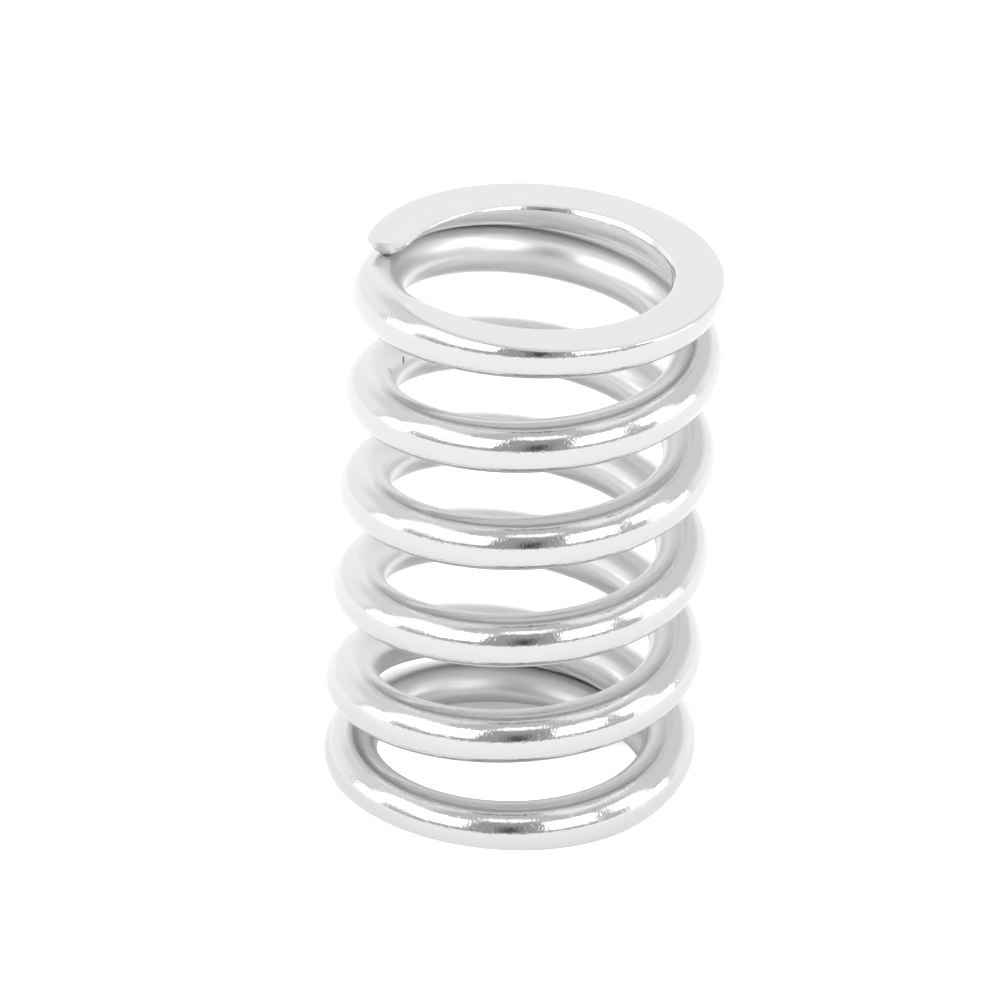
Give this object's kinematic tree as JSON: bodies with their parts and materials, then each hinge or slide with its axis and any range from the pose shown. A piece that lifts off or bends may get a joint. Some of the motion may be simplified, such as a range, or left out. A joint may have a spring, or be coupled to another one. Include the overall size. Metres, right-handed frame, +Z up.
{
  "type": "silencer compression spring",
  "caption": "Short stiff compression spring of round wire with closed, ground ends, that slides over a shoulder bolt and holds an exhaust flange joint together.",
  "frame": {"origin": "centre of the lower ground face, on the coil's axis", "axes": "+Z up along the coil's axis towards the upper ground face, +X and +Y across the coil; the upper wire tip lies at a bearing of 171 degrees, anticlockwise from +X seen from above"},
  "size_m": [0.028, 0.028, 0.042],
  "materials": {
    "plated_wire": "bright zinc plate over drawn steel wire, with matt ground end faces"
  },
  "bodies": {
    "root": {"spring": "plated_wire"}
  },
  "joints": []
}
